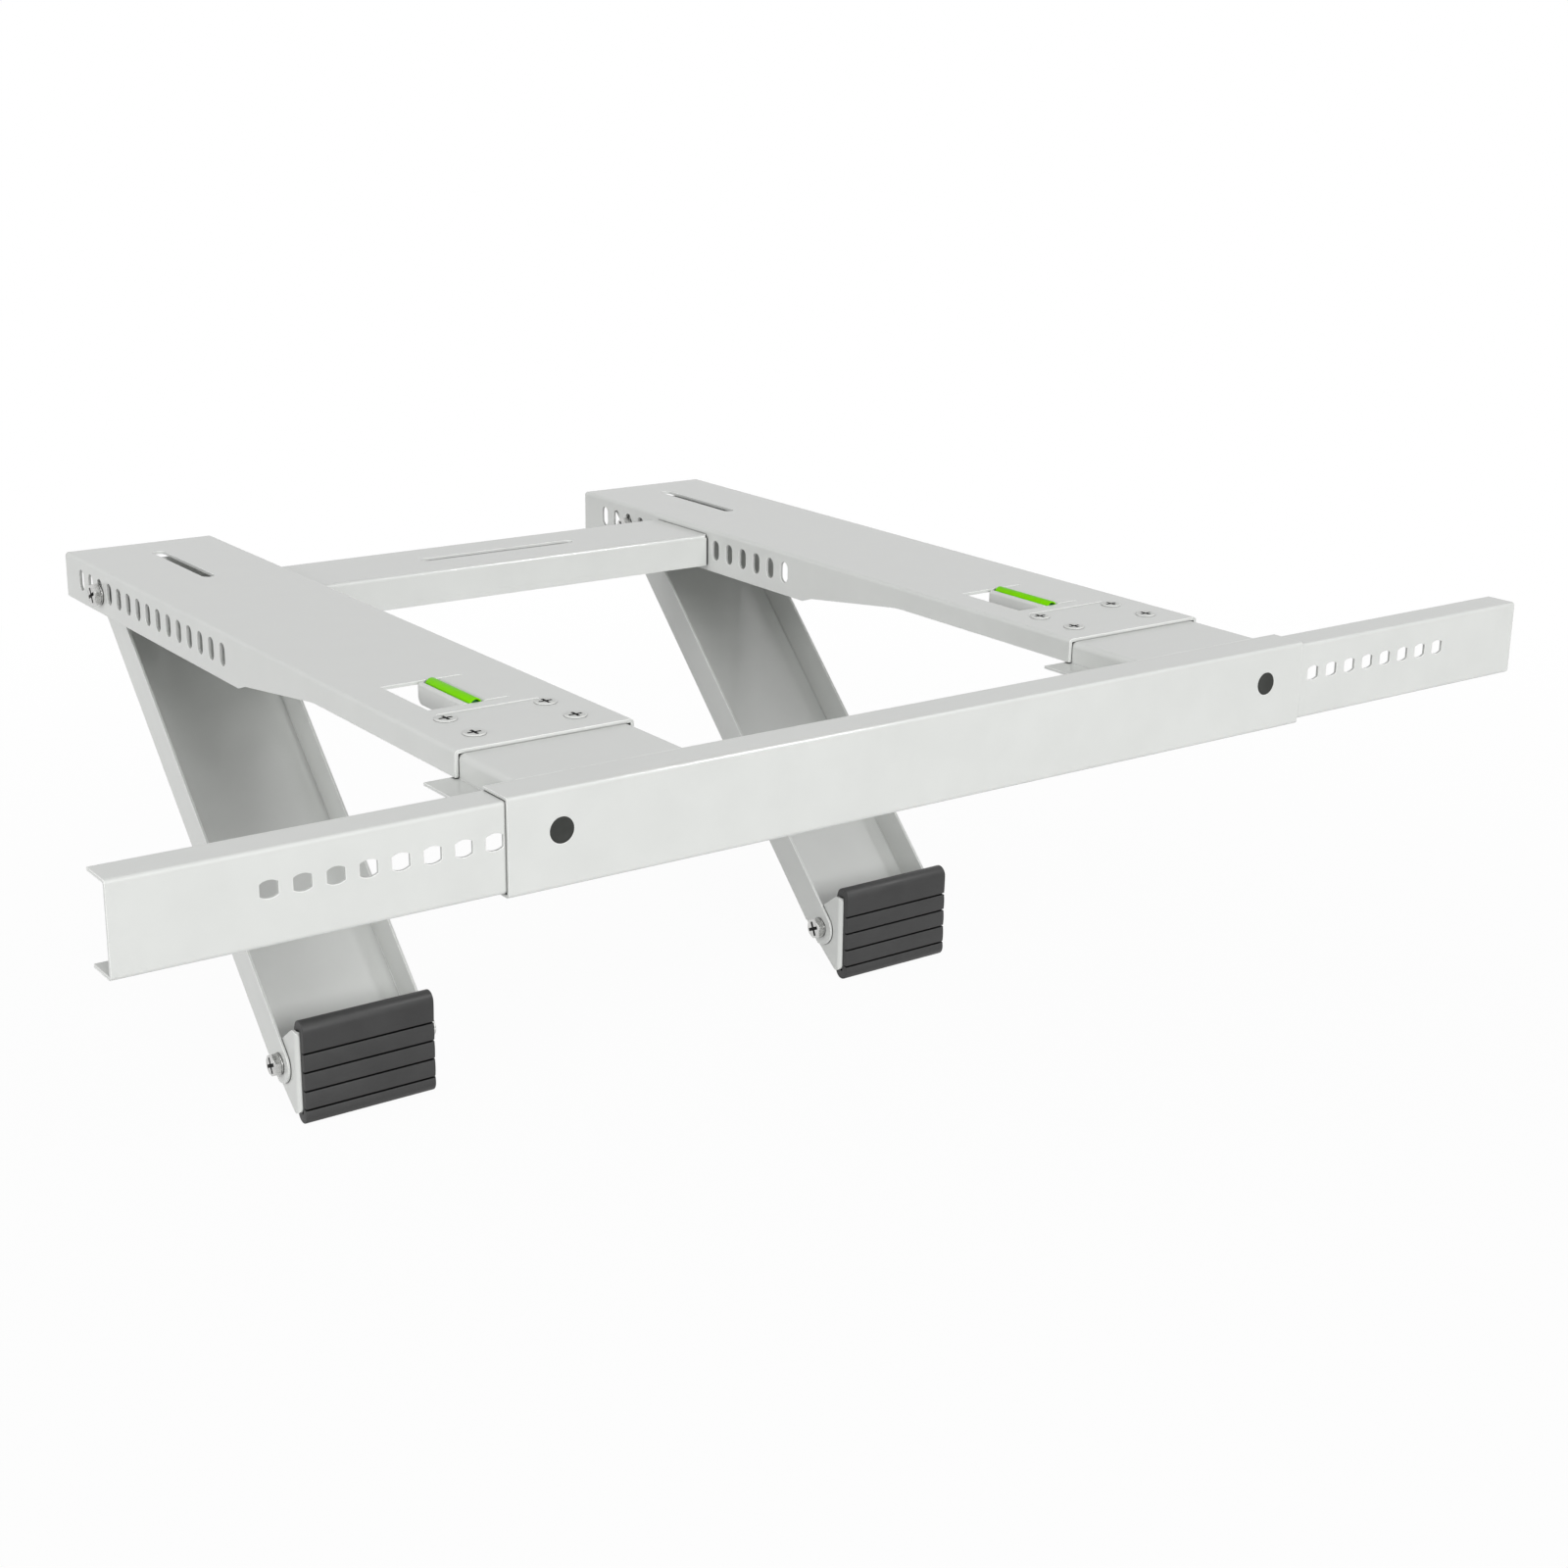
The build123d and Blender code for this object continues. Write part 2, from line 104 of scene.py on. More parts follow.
class BracketSizes(PropertyGroup):
    """Sizes of the details that the frame leaves plain."""

    bolt_width: length("Bolt width", "Hexagon bolts and their nuts, across the flats", 13 * MM)
    bolt_head: length("Bolt head", "Height of a hexagon bolt's head", 4.6 * MM)
    bolt_shank: length("Bolt shank", "Thread diameter of a hexagon bolt", 8 * MM)
    bolt_pitch: length("Bolt pitch", "Thread pitch of a hexagon bolt", 1.25 * MM)
    bolt_thread: length("Bolt thread", "Threaded length at a bolt's end", 10 * MM)
    bolt_tail: length("Bolt tail", "Length of a hexagon bolt beyond its nut", 1.0 * MM)
    bolt_recess: length("Bolt recess", "Length of one arm of the cross in a bolt's head", 4.8 * MM)
    bolt_recess_depth: length("Bolt recess depth", "Depth of the cross in a bolt's head", 2.53 * MM)
    bolt_nut: length("Bolt nut", "Height of a hexagon bolt's nut", 6.8 * MM)
    washer: length("Washer", "Thickness of a pivot's washer", 1.2 * MM)
    washer_edge: length("Washer edge", "Rounding of a washer's edges", 0.3 * MM)
    screw_head: length("Screw head", "Diameter of a countersunk head", 10 * MM)
    screw_rim: length("Screw rim", "Diameter of the flat rim around a countersunk head", 12.2 * MM)
    screw_rise: length("Screw rise", "Height of a countersunk screw's rim above the sheet", 0.8 * MM)
    screw_shank: length("Screw shank", "Thread diameter of a countersunk screw", 5 * MM)
    screw_pitch: length("Screw pitch", "Thread pitch of a countersunk screw", 0.8 * MM)
    screw_recess: length("Screw recess", "Length of one arm of the cross in a screw's head", 3.7 * MM)
    screw_recess_depth: length("Screw recess depth", "Depth of the cross in a screw's head", 2.2 * MM)
    screw_nut: length("Screw nut", "Screw nuts, across the flats", 8 * MM)
    play: length("Play", "Gap between a bore and what runs through it", 0.1 * MM)
    plug_edge: length("Plug edge", "Rounding of a plug's rim", 0.4 * MM)
    plug_dish: length("Plug dish", "Depth of the shallow dish in a plug's face", 0.15 * MM)
    pad_groove: length("Pad groove", "Width of a groove in the pad's face", 1.3 * MM)
    pad_groove_depth: length("Pad groove depth", "Depth of a groove in the pad's face", 2.8 * MM)
    pad_groove_pitch: length("Pad groove pitch", "Distance from one groove to the next", 12.2 * MM)
    pad_groove_drop: length("Pad groove drop", "From the pad's top down to its first groove", 19.75 * MM)
    pad_arch: length("Pad arch", "How far a rib's middle stands in front of its edges", 0.4 * MM)
    pad_corner: length("Pad corner", "Rounding of the corners in the pad's side view", 0.2 * MM)
    pad_edge: length("Pad edge", "Rounding of the pad's side edges", 0.6 * MM)
    pad_wall: length("Pad wall", "Thickness of the rubber in front of the foot plate", 4.7 * MM)
    pad_slot: length("Pad slot", "Width of the slot that holds the foot plate", 1.8 * MM)
    pad_hook: length("Pad hook", "How far the pad's lips reach behind the foot plate", 5.2 * MM)
    tube_edge: length("Tube edge", "Rounding of the edges of a level's tube", 0.35 * MM)
    stopper: length("Stopper", "Length of the stoppers at the ends of a level", 3.0 * MM)
    bubble_length: length("Bubble length", "Length of the level's bubble", 9 * MM)


class BracketColours(PropertyGroup):
    """Base colours of the finishes, with a painted edge highlight and a painted recess shade, as linear
    values.
    """

    paint: colour("Paint", "Light grey powder coat", (0.63, 0.642, 0.624))
    # Painted highlight: sharp edges are mixed towards this colour, whatever the light.
    paint_rim: colour("Paint rim", "Powder coat along sharp edges, where it shines", (0.98, 0.99, 0.97))
    zinc: colour("Zinc", "Plated bolts, washers and nuts", (0.56, 0.56, 0.55))
    screw: colour("Screw", "Plated countersunk screws", (0.6, 0.61, 0.59))
    # Painted shade: the cross recesses are drawn near black to stand for the shade in them.
    recess: colour("Recess", "Cross recesses of bolts and screws", (0.02, 0.02, 0.02))
    rubber: colour("Rubber", "Foot pads", (0.034, 0.034, 0.034))
    plug: colour("Plug", "Plastic plugs of the crossbar", (0.036, 0.038, 0.035))
    level: colour("Level", "Tinted tube of the levels", (0.2, 0.67, 0.0))
    liquid: colour("Liquid", "Tinted liquid in the levels", (0.12, 0.62, 0.01))
    stopper: colour("Stopper", "Stoppers at the ends of a level", (0.0, 0.09, 0.012))
    floor: colour("Floor", "Studio floor", (0.6, 0.6, 0.6))


class BracketStage(PropertyGroup):
    """The camera and the studio light."""

    camera_place: FloatVectorProperty(
        name="Camera place",
        description="Where the camera stands",
        default=(-0.777786, -0.913093, 0.366385),
        subtype="TRANSLATION",
        unit="LENGTH",
    )
    camera_turn: angle("Camera turn", "Compass direction of the view, from +Y towards +X", 35.69975)
    camera_dip: angle("Camera dip", "How far the view points below the horizon", 16.98626)
    camera_roll: angle("Camera roll", "Turn about the view's own axis", 0.6845)
    lens: number("Lens", "Focal length", 54.136, min=1, subtype="DISTANCE_CAMERA", unit="CAMERA")
    shift_x: number("Shift X", "Sideways lens shift, in image widths", 0.0121237)
    shift_y: number("Shift Y", "Upright lens shift, in image widths", -0.0205326)
    sky: number("Sky", "Strength of the even light from all sides", 0.33, min=0)
    front_power: power("Front power", "Power of the front softbox", 186)
    left_power: power("Left power", "Power of the softbox at the arms' left sides", 66)
    edge_power: power("Edge power", "Power of the small softbox that draws the edges", 60)


# Shader nodes

# Limits between which most of a noise lies
USUAL_NOISE = (0.3, 0.7)

# How alike the face's normal and the rounded one are where the painted edge highlight begins, and where it
# is full
EDGE_HIGHLIGHT_LIMITS = (0.995, 0.9)

# Share of open sky over a point at which the painted crevice shade is darkest, and at which it is gone
CREVICE_SHADE_LIMITS = (0.3, 0.85)
CREVICE_SHADE_DARKNESS = 0.97


def add_node(tree, kind, values=None, **settings):
    """Add a shader node, set its attributes, and set or link its inputs."""
    made = tree.nodes.new(kind)
    for key, value in settings.items():
        setattr(made, key, value)
    for key, value in (values or {}).items():
        if isinstance(value, bpy.types.NodeSocket):
            tree.links.new(value, made.inputs[key])
        else:
            made.inputs[key].default_value = value
    return made


def compute(tree, operation, first, second):
    """The result of one sum on two numbers or sockets."""
    return add_node(tree, "ShaderNodeMath", {0: first, 1: second}, operation=operation).outputs[0]


def remap(tree, value, source, target):
    """Map a value from one pair of limits to another, and keep it within the second."""
    limits = {"From Min": source[0], "From Max": source[1], "To Min": target[0], "To Max": target[1]}
    return add_node(tree, "ShaderNodeMapRange", {"Value": value, **limits}).outputs["Result"]


def texture(tree, scale, detail=3.0):
    """Noise over the object's own coordinates, with its scale per metre."""
    place = add_node(tree, "ShaderNodeTexCoord").outputs["Object"]
    values = {"Vector": place, "Scale": scale, "Detail": detail}
    return add_node(tree, "ShaderNodeTexNoise", values).outputs["Fac"]


def between(tree, noise, low, high):
    """Spread a noise over a range of numbers."""
    return remap(tree, noise, USUAL_NOISE, (low, high))


def blend(tree, share, low, high):
    """Mix two colours, each a socket or a plain colour."""
    mix = add_node(tree, "ShaderNodeMix", {"Factor": share}, data_type="RGBA")
    for socket, mixed in zip(mix.inputs[6:8], (low, high)):
        if isinstance(mixed, bpy.types.NodeSocket):
            tree.links.new(mixed, socket)
        else:
            socket.default_value = (*mixed, 1)
    return mix.outputs[2]


def shades(tree, noise, base, spread):
    """Vary a colour a little darker and lighter than its base."""
    low = [c * (1 - spread) for c in base]
    high = [min(1, c * (1 + spread)) for c in base]
    return blend(tree, between(tree, noise, 0, 1), low, high)


def edge_share(tree, rounded_normal):
    """Share of the painted edge highlight: 1 along sharp edges, where the rounded normal turns away from the
    face, and 0 elsewhere.
    """
    face_normal = add_node(tree, "ShaderNodeNewGeometry").outputs["Normal"]
    alike = add_node(
        tree, "ShaderNodeVectorMath", {0: rounded_normal, 1: face_normal}, operation="DOT_PRODUCT"
    ).outputs["Value"]
    return remap(tree, alike, EDGE_HIGHLIGHT_LIMITS, (0, 1))


def crevice_share(tree, reach):
    """Share of the painted shade: close to 1 in gaps that are narrower than the reach, and 0 in the open."""
    free = add_node(tree, "ShaderNodeAmbientOcclusion", {"Distance": reach}, samples=8).outputs["AO"]
    return remap(tree, free, CREVICE_SHADE_LIMITS, (CREVICE_SHADE_DARKNESS, 0))


# Finishes


def finish(
    name, base, roughness, grain, depth, spread=0.02, patch=30,
    edge=0.0, rim=None, crevice_shade=0.0, **shader_values
):
    """A material with uneven colour and roughness and a fine grain.

    The roughness is a pair from smooth to rough. The grain is the noise scale per metre of the
    bump, and the depth its height. The patch is the scale of the slow changes, and the spread
    how far they shift the colour. The edge is the radius to which sharp edges look rounded, and
    the rim is the colour of the painted highlight along them. The crevice shade is the reach of
    the painted shade that darkens narrow gaps.
    """
    material = bpy.data.materials.new(name)
    material.use_nodes = True
    material.diffuse_color = (*base, 1)
    tree = material.node_tree
    shader = tree.nodes["Principled BSDF"]
    slow = texture(tree, patch)
    fine = texture(tree, grain, detail=2.0)
    skin_colour = shades(tree, slow, base, spread)
    bump = add_node(tree, "ShaderNodeBump", {"Height": fine, "Distance": depth, "Strength": 1.0})
    if edge:
        rounded_normal = add_node(tree, "ShaderNodeBevel", {"Radius": edge}, samples=6).outputs["Normal"]
        tree.links.new(rounded_normal, bump.inputs["Normal"])
        # Painted highlight: sharp edges are mixed towards the rim colour, whatever the light.
        if rim:
            skin_colour = blend(tree, edge_share(tree, rounded_normal), skin_colour, rim)
    # Painted shade: narrow gaps are mixed towards black by their ambient occlusion.
    if crevice_shade:
        skin_colour = blend(tree, crevice_share(tree, crevice_shade), skin_colour, (0, 0, 0))
    tree.links.new(skin_colour, shader.inputs["Base Color"])
    tree.links.new(between(tree, slow, *roughness), shader.inputs["Roughness"])
    tree.links.new(bump.outputs["Normal"], shader.inputs["Normal"])
    for socket, value in shader_values.items():
        shader.inputs[socket.replace("_", " ")].default_value = value
    return material


def powder_coat(colours):
    return finish(
        "powder_coat", colours.paint, roughness=(0.34, 0.4), grain=800, depth=0.004 * MM,
        # Painted highlight along sharp edges, and painted shade in narrow gaps
        edge=0.7 * MM, rim=colours.paint_rim, crevice_shade=1.5 * MM,
        Specular_IOR_Level=0.35, Coat_Weight=0.45, Coat_Roughness=0.08,
    )


def bright_zinc(colours):
    return finish(
        "bright_zinc", colours.zinc, roughness=(0.2, 0.34), grain=2500, depth=0.004 * MM,
        # Painted shade in narrow gaps, such as around heads and nuts
        spread=0.12, patch=400, edge=0.12 * MM, crevice_shade=3 * MM, Metallic=1.0,
    )


def screw_plate(colours):
    return finish(
        "screw_plate", colours.screw, roughness=(0.34, 0.46), grain=2500, depth=0.004 * MM,
        # Painted highlight along the head's edges, and painted shade in narrow gaps around it
        spread=0.03, patch=300, edge=0.5 * MM, rim=colours.paint_rim, crevice_shade=1.6 * MM,
    )


# Painted shade: the cross recesses of the plated bolts and screws take this near black finish.
def recess_shadow(colours):
    return finish(
        "recess_shadow", colours.recess, roughness=(0.5, 0.7), grain=2500, depth=0.004 * MM,
        spread=0.2, patch=400, Specular_IOR_Level=0.2,
    )


def black_rubber(colours):
    return finish(
        "black_rubber", colours.rubber, roughness=(0.46, 0.56), grain=1800, depth=0.02 * MM,
        # Painted shade in the pad's grooves and other narrow gaps
        spread=0.12, patch=60, crevice_shade=4 * MM, Specular_IOR_Level=0.4,
    )


def black_plastic(colours):
    return finish(
        "black_plastic", colours.plug, roughness=(0.45, 0.55), grain=1500, depth=0.01 * MM,
        spread=0.08, patch=200, Specular_IOR_Level=0.15,
    )


def level_glass(colours):
    return finish(
        "level_glass", colours.level, roughness=(0.3, 0.4), grain=300, depth=0.002 * MM,
        spread=0.04, patch=80, IOR=1.49, Specular_IOR_Level=0.05,
    )


def level_liquid(colours):
    return finish(
        "level_liquid", colours.liquid, roughness=(0.02, 0.05), grain=200, depth=0.001 * MM,
        spread=0.05, patch=80, Transmission_Weight=0.6, IOR=1.36,
    )


def stopper_plastic(colours):
    return finish(
        "stopper_plastic", colours.stopper, roughness=(0.3, 0.4), grain=1500, depth=0.005 * MM,
        spread=0.1, patch=200,
    )


def shared(make, context):
    """The material that a function makes under its own name, made once."""
    return bpy.data.materials.get(make.__name__) or make(context.scene.bracket_colours)


# Mesh helpers

RING_STEP = 5
SHARP_TURN = math.radians(25)
SMOOTH_TURN = math.radians(32)

# The longest part of an edge that the rounding of one corner may take
CORNER_SHARE = 0.45

# Where the middle point of a rounded rim lies, per size of the rounding
BEND_SHARE = 0.3


def ring_angles(recess_ratio=None):
    """Angles of a ring's points, which include the corners of a hexagon and of a cross."""
    degrees = set(range(0, 360, RING_STEP))
    if recess_ratio:
        corner = math.degrees(math.atan(recess_ratio))
        degrees |= {quarter + end * corner for quarter in (0, 90, 180, 270) for end in ENDS}
    return [math.radians(d) for d in sorted(d % 360 for d in degrees)]


def ring(angles, radius, height):
    """Points of one closed ring: the radius and the height are numbers, or functions of the angle."""
    points = []
    for turn in angles:
        r = radius(turn) if callable(radius) else radius
        z = height(turn) if callable(height) else height
        points.append((r * math.cos(turn), r * math.sin(turn), z))
    return points


def turned(outline, angles):
    """Rings of an outline of radius and height that is turned about the Z axis."""
    return [ring(angles, radius, height) for radius, height in outline]


def skin(bm, rings, place, closed=False, recess=0):
    """Join rings of points into one surface: closed up on itself, or capped at both ends.

    The last bands up to the top cap, as many as the recess says, take the second material, which paints the
    shade in a cross recess.
    """
    rows = [[bm.verts.new(place @ Vector(point)) for point in points] for points in rings]
    pairs = list(zip(rows, rows[1:]))
    if closed:
        pairs.append((rows[-1], rows[0]))
    else:
        bm.faces.new(rows[0][::-1])
        bm.faces.new(rows[-1]).material_index = 1 if recess else 0
    for band, (low, high) in enumerate(pairs):
        material_index = 1 if band >= len(pairs) - recess else 0
        for i in range(len(low)):
            j = (i + 1) % len(low)
            bm.faces.new((low[i], low[j], high[j], high[i])).material_index = material_index


def soften(outline, radius, steps=3):
    """Round each sharp corner of a closed flat outline, over less than half of either edge."""
    points = [Vector(p) for p in outline]
    result = []
    for i, corner in enumerate(points):
        before = points[i - 1] - corner
        after = points[(i + 1) % len(points)] - corner
        turn = math.pi - before.angle(after)
        if turn < SHARP_TURN:
            result.append(corner)
            continue
        longest = min(before.length * CORNER_SHARE, after.length * CORNER_SHARE)
        reach = min(radius * math.tan(turn / 2), longest)
        start = corner + before.normalized() * reach
        end = corner + after.normalized() * reach
        for k in range(steps + 1):
            t = k / steps
            result.append(start * (1 - t) ** 2 + corner * 2 * t * (1 - t) + end * t ** 2)
    return result


def add_piece(name, bm, body, materials, replaced):
    """Turn a bmesh into a piece that rides on a body and stands for a node of the frame."""
    bmesh.ops.recalc_face_normals(bm, faces=bm.faces)
    mesh = bpy.data.meshes.new(name)
    bm.to_mesh(mesh)
    bm.free()
    mesh.shade_smooth()
    mesh.set_sharp_from_angle(angle=SMOOTH_TURN)
    for material in materials:
        mesh.materials.append(material)
    piece = bpy.data.objects.new(name, mesh)
    bpy.context.scene.collection.objects.link(piece)
    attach(piece, body)
    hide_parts(replaced)


def middle_of(node):
    low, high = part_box(node)
    return (low + high) / 2


def span_of(node):
    low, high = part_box(node)
    return high - low


# Paint


class BRACKET_OT_paint_steel(Operator):
    """Give every sheet steel part its light grey powder coat"""

    bl_idname = "bracket.paint_steel"
    bl_label = "Paint Steel"

    def execute(self, context):
        paint = shared(powder_coat, context)
        for name in STEEL_NODES:
            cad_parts[name].material_slots[0].material = paint
        return {"FINISHED"}


# Threads, cross recesses and hexagons

THREAD_STEPS = 4
THREAD_DEPTH_PER_PITCH = 0.6
TIP_PER_THREAD_DEPTH = 0.8
CHAMFER_CIRCLE_PER_FLATS = 0.96
CHAMFER_SLOPE = math.tan(math.radians(30))
NUT_CHAMFER_PER_BORE = 0.1
RIM_SIDE_PER_RISE = 0.4
RIM_CHAMFER_PER_RISE = 0.6

# Half the width of a cross recess's arm, per length of the arm
BOLT_RECESS_RATIO = 0.22
SCREW_RECESS_RATIO = 0.24

# Shares of a cross recess's size and depth at each of its levels, from the rim down to the floor
RECESS_LEVELS = ((1.06, 0.0), (0.98, 0.06), (0.8, 0.55), (0.35, 1.0))
RECESS_BANDS = len(RECESS_LEVELS) - 1


def thread_rings(angles, tip, top, shank, pitch):
    """Rings of a threaded shank from its chamfered tip up to where the thread ends."""
    groove = THREAD_DEPTH_PER_PITCH * pitch
    rings = [ring(angles, shank - groove, tip)]
    step = pitch / THREAD_STEPS
    start = tip + groove * TIP_PER_THREAD_DEPTH
    for i in range(int((top - start) / step)):
        z = start + i * step
        rings.append(ring(angles, lambda turn, z=z: thread_radius(turn, z, shank, groove, pitch), z))
    rings.append(ring(angles, shank, top))
    return rings


def thread_radius(turn, z, shank, groove, pitch):
    """Radius of a thread: it falls and rises once in each pitch, and follows the helix."""
    phase = (z / pitch - turn / (2 * math.pi)) % 1
    return shank - groove * abs(2 * phase - 1)


def cross(turn, reach, half_width):
    """Radius of a cross with four arms, in one direction."""
    fold = turn % (math.pi / 2)
    fold = min(fold, math.pi / 2 - fold)
    side = half_width / math.sin(fold) if fold > 0 else math.inf
    return min(reach / math.cos(fold), side)


def recess_rings(angles, reach, half_width, top, depth):
    """Rings of a cross recess: its softened rim, then its walls and floor."""
    return [
        ring(angles, lambda turn, s=scale: cross(turn, reach * s, half_width * s), top - depth * drop)
        for scale, drop in RECESS_LEVELS
    ]


def hexagon(turn, width):
    """Radius of a hexagon of that width across its flats, in one direction."""
    fold = (turn + math.pi / 6) % (math.pi / 3) - math.pi / 6
    return width / 2 / math.cos(fold)


def hex_side_rings(angles, width, low, high):
    """Rings of a hexagon's side between two heights: both its ends are chamfered to a circle."""
    flat = width / 2 * CHAMFER_CIRCLE_PER_FLATS

    def side(turn):
        return hexagon(turn, width)

    def drop(turn):
        return (side(turn) - flat) * CHAMFER_SLOPE

    return [
        ring(angles, flat, low),
        ring(angles, side, lambda turn: low + drop(turn)),
        ring(angles, side, lambda turn: high - drop(turn)),
        ring(angles, flat, high),
    ]


def hex_bolt_rings(sizes, grip):
    """A hexagon bolt whose head stands on Z = 0 and whose shank runs down to -grip."""
    angles = ring_angles(BOLT_RECESS_RATIO)
    shank = sizes.bolt_shank / 2
    half_width = BOLT_RECESS_RATIO * sizes.bolt_recess
    rings = thread_rings(angles, -grip, -grip + sizes.bolt_thread, shank, sizes.bolt_pitch)
    rings.append(ring(angles, shank, 0))
    rings += hex_side_rings(angles, sizes.bolt_width, 0, sizes.bolt_head)
    rings += recess_rings(angles, sizes.bolt_recess, half_width, sizes.bolt_head, sizes.bolt_recess_depth)
    return rings


def countersunk_rings(sizes, grip):
    """A countersunk screw whose flat rim lies on Z = 0 and whose shank runs down to -grip."""
    angles = ring_angles(SCREW_RECESS_RATIO)
    shank = sizes.screw_shank / 2
    head = sizes.screw_head / 2
    rim = sizes.screw_rim / 2
    rise = sizes.screw_rise
    half_width = SCREW_RECESS_RATIO * sizes.screw_recess
    rim_top = rim - rise * RIM_CHAMFER_PER_RISE
    rim_outline = [(head, 0), (rim, 0), (rim, rise * RIM_SIDE_PER_RISE), (rim_top, rise), (head, rise)]
    rings = thread_rings(angles, -grip, shank - head, shank, sizes.screw_pitch)
    rings += turned(rim_outline, angles)
    rings += recess_rings(angles, sizes.screw_recess, half_width, rise, sizes.screw_recess_depth)
    return rings


def nut_rings(width, height, bore):
    """A hexagon nut that stands on Z = 0, with a chamfered bore."""
    angles = ring_angles()
    chamfer = NUT_CHAMFER_PER_BORE * bore
    rings = turned([(bore, chamfer), (bore + chamfer, 0)], angles)
    rings += hex_side_rings(angles, width, 0, height)
    rings += turned([(bore + chamfer, height), (bore, height - chamfer)], angles)
    return rings


# Screws of the arms, with their nuts under the brackets


def screw_spots(side, sizes):
    """Middles of the tops of the four screws in one arm."""
    low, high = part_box(f"arm_screws_{side}")
    inset = sizes.screw_head / 2
    return [
        Vector((x, y, high.z))
        for x in (low.x + inset, high.x - inset)
        for y in (low.y + inset, high.y - inset)
    ]


class BRACKET_OT_arm_screws(Operator):
    """Build the countersunk screws that hold the arms on their brackets"""

    bl_idname = "bracket.arm_screws"
    bl_label = "Arm Screws"

    def execute(self, context):
        sizes = context.scene.bracket_sizes
        materials = (shared(screw_plate, context), shared(recess_shadow, context))
        for side in SIDES:
            node = f"arm_screws_{side}"
            rings = countersunk_rings(sizes, span_of(node).z)
            bm = bmesh.new()
            for spot in screw_spots(side, sizes):
                skin(bm, rings, Matrix.Translation(spot), recess=RECESS_BANDS)
            add_piece(f"countersunk_screws_{side}", bm, "frame", materials, node)
        return {"FINISHED"}


class BRACKET_OT_screw_nuts(Operator):
    """Build the hexagon nuts under the brackets"""

    bl_idname = "bracket.screw_nuts"
    bl_label = "Screw Nuts"

    def execute(self, context):
        sizes = context.scene.bracket_sizes
        zinc = shared(bright_zinc, context)
        for side in SIDES:
            node = f"arm_screw_nuts_{side}"
            low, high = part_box(node)
            rings = nut_rings(sizes.screw_nut, high.z - low.z, sizes.screw_shank / 2 + sizes.play)
            bm = bmesh.new()
            for spot in screw_spots(side, sizes):
                skin(bm, rings, Matrix.Translation((spot.x, spot.y, low.z)), closed=True)
            add_piece(f"screw_nuts_{side}", bm, "frame", (zinc,), node)
        return {"FINISHED"}


# Bolts, washers and nuts of the pivots, which all ride on the legs

BOLT_TURNS = (math.radians(25), math.radians(60))


def set_at_both_ends(bm, rings, node, distance, turns=(0, 0), **surface):
    """Set two like parts on a pivot's axis, with their own Z outwards, that far from its middle."""
    middle = middle_of(node)
    for end, turn in zip(ENDS, turns):
        spot = Matrix.Translation(middle + Vector((end * distance, 0, 0)))
        outwards = Matrix.Rotation(end * math.pi / 2, 4, "Y")
        skin(bm, rings, spot @ outwards @ Matrix.Rotation(turn, 4, "Z"), **surface)


class BRACKET_OT_pivot_bolts(Operator):
    """Build the hexagon bolts of the leg and foot pivots"""

    bl_idname = "bracket.pivot_bolts"
    bl_label = "Pivot Bolts"

    def execute(self, context):
        sizes = context.scene.bracket_sizes
        materials = (shared(bright_zinc, context), shared(recess_shadow, context))
        for joint, side in PIVOTS:
            node = f"{joint}_bolts_{side}"
            seat = span_of(node).x / 2 - sizes.bolt_head
            nut_face = span_of(f"{joint}_nuts_{side}").x / 2
            grip = seat - nut_face + sizes.bolt_nut + sizes.bolt_tail
            bm = bmesh.new()
            rings = hex_bolt_rings(sizes, grip)
            set_at_both_ends(bm, rings, node, seat, BOLT_TURNS, recess=RECESS_BANDS)
            add_piece(f"{joint}_pivot_bolts_{side}", bm, f"leg_{side}", materials, node)
        return {"FINISHED"}


class BRACKET_OT_pivot_washers(Operator):
    """Build the washers of the leg and foot pivots"""

    bl_idname = "bracket.pivot_washers"
    bl_label = "Pivot Washers"

    def execute(self, context):
        sizes = context.scene.bracket_sizes
        zinc = shared(bright_zinc, context)
        bore = sizes.bolt_shank / 2 + sizes.play
        for joint, side in PIVOTS:
            node = f"{joint}_washers_{side}"
            outer = span_of(node).y / 2
            outline = [(bore, 0), (outer, 0), (outer, sizes.washer), (bore, sizes.washer)]
            rings = turned(soften(outline, sizes.washer_edge), ring_angles())
            bm = bmesh.new()
            set_at_both_ends(bm, rings, node, span_of(node).x / 2 - sizes.washer, closed=True)
            add_piece(f"{joint}_pivot_washers_{side}", bm, f"leg_{side}", (zinc,), node)
        return {"FINISHED"}


class BRACKET_OT_pivot_nuts(Operator):
    """Build the nuts inside the leg and foot pivots"""

    bl_idname = "bracket.pivot_nuts"
    bl_label = "Pivot Nuts"

    def execute(self, context):
        sizes = context.scene.bracket_sizes
        zinc = shared(bright_zinc, context)
        rings = nut_rings(sizes.bolt_width, sizes.bolt_nut, sizes.bolt_shank / 2 + sizes.play)
        for joint, side in PIVOTS:
            node = f"{joint}_nuts_{side}"
            bm = bmesh.new()
            set_at_both_ends(bm, rings, node, span_of(node).x / 2 - sizes.bolt_nut, closed=True)
            add_piece(f"{joint}_pivot_nuts_{side}", bm, f"leg_{side}", (zinc,), node)
        return {"FINISHED"}


# Sleeve plugs

DISH_RIM_SHARE = 0.75
DISH_FLOOR_SHARE = 0.7


